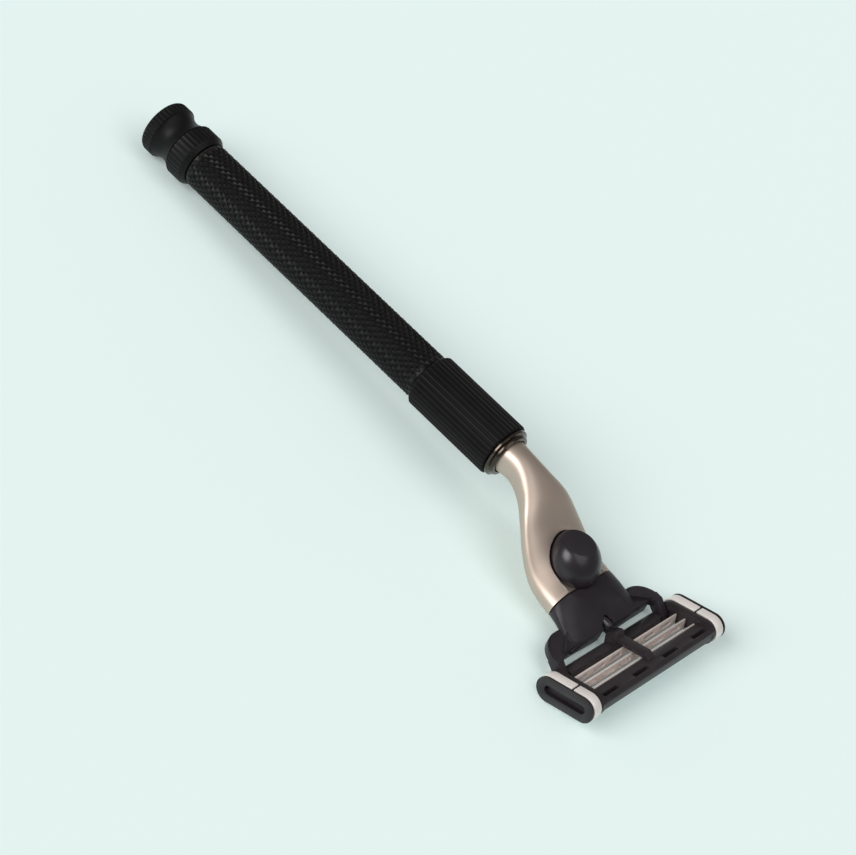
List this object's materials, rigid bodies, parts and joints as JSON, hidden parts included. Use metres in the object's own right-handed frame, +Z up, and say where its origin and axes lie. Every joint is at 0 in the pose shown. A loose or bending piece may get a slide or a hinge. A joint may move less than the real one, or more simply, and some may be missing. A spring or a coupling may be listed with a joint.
{
  "type": "cartridge safety razor",
  "caption": "Wet-shaving razor: knurled metal handle, curved cast neck, sliding release button and a spring-pivoted cartridge of parallel blades.",
  "frame": {"origin": "centre of the footprint, on the table that the razor rests on", "axes": "+X from the end knob towards the head, +Y across the head, +Z up, on the button side"},
  "size_m": [0.1478, 0.0414, 0.0205],
  "materials": {
    "black_metal": "black anodised metal, satin, with fine knurling and ribs",
    "gunmetal": "dark bronze gunmetal, polished",
    "satin_nickel": "satin pearl nickel plating on a casting, warm",
    "steel": "bright stainless steel strip",
    "spring_steel": "drawn spring wire",
    "brass": "turned brass",
    "black_plastic": "black moulded plastic, satin, with a faint purple cast",
    "clip_metal": "pale satin aluminium strip",
    "blade_steel": "ground and honed blade steel",
    "rubber": "dark moulded elastomer",
    "lubricant": "pale waxy water-soluble polymer"
  },
  "bodies": {
    "handle": {"end_knob": "black_metal", "end_collar": "black_metal", "grip_tube": "black_metal", "rear_bush": "brass", "tie_rod": "steel", "ribbed_sleeve": "black_metal", "front_bezel": "gunmetal", "neck": "satin_nickel", "nose_block": "black_plastic", "button_spring": "spring_steel", "plunger_spring": "spring_steel"},
    "button": {"release_button": "black_plastic", "ejector_slide": "black_plastic"},
    "plunger": {"plunger": "black_plastic"},
    "yoke": {"yoke": "black_plastic"},
    "head": {"blade_frame": "black_plastic", "clip_left": "clip_metal", "clip_right": "clip_metal", "guard_fins": "rubber", "lubricating_strip": "lubricant"},
    "blade_1": {"blade_1": "blade_steel", "blade_support_1": "steel"},
    "blade_2": {"blade_2": "blade_steel", "blade_support_2": "steel"},
    "blade_3": {"blade_3": "blade_steel", "blade_support_3": "steel"}
  },
  "joints": [
    {"name": "release_slide", "type": "slide", "parent": "handle", "child": "button", "axis": [0.9958, 0, 0.0916], "range_m": [0, 0.003], "stiffness_N_per_m": 250, "springref_m": -0.002, "deforming": ["button_spring"]},
    {"name": "yoke_eject", "type": "slide", "parent": "handle", "child": "yoke", "axis": [0.9958, 0, 0.0916], "range_m": [0, 0.003]},
    {"name": "head_pivot", "type": "hinge", "parent": "yoke", "child": "head", "pos_m": [0.06349, 0, 0.00219], "axis": [0, -1, 0], "range_deg": [0, 40], "stiffness_Nm_per_rad": 0.008, "springref_deg": -20.05},
    {"name": "plunger_slide", "type": "slide", "parent": "handle", "child": "plunger", "axis": [-0.9958, 0, -0.0916], "range_m": [0, 0.00101], "deforming": ["plunger_spring"]},
    {"name": "blade_float_1", "type": "slide", "parent": "head", "child": "blade_1", "axis": [-0.3981, 0, 0.9174], "range_m": [0, 0.00025], "stiffness_N_per_m": 400, "springref_m": -0.0006},
    {"name": "blade_float_2", "type": "slide", "parent": "head", "child": "blade_2", "axis": [-0.3981, 0, 0.9174], "range_m": [0, 0.00025], "stiffness_N_per_m": 400, "springref_m": -0.0006},
    {"name": "blade_float_3", "type": "slide", "parent": "head", "child": "blade_3", "axis": [-0.3981, 0, 0.9174], "range_m": [0, 0.00025], "stiffness_N_per_m": 400, "springref_m": -0.0006}
  ],
  "couplings": [
    {"joint": "yoke_eject", "follows": "release_slide", "ratio": 1},
    {"joint": "plunger_slide", "follows": "head_pivot", "m_per_rad": 0.0014324}
  ]
}
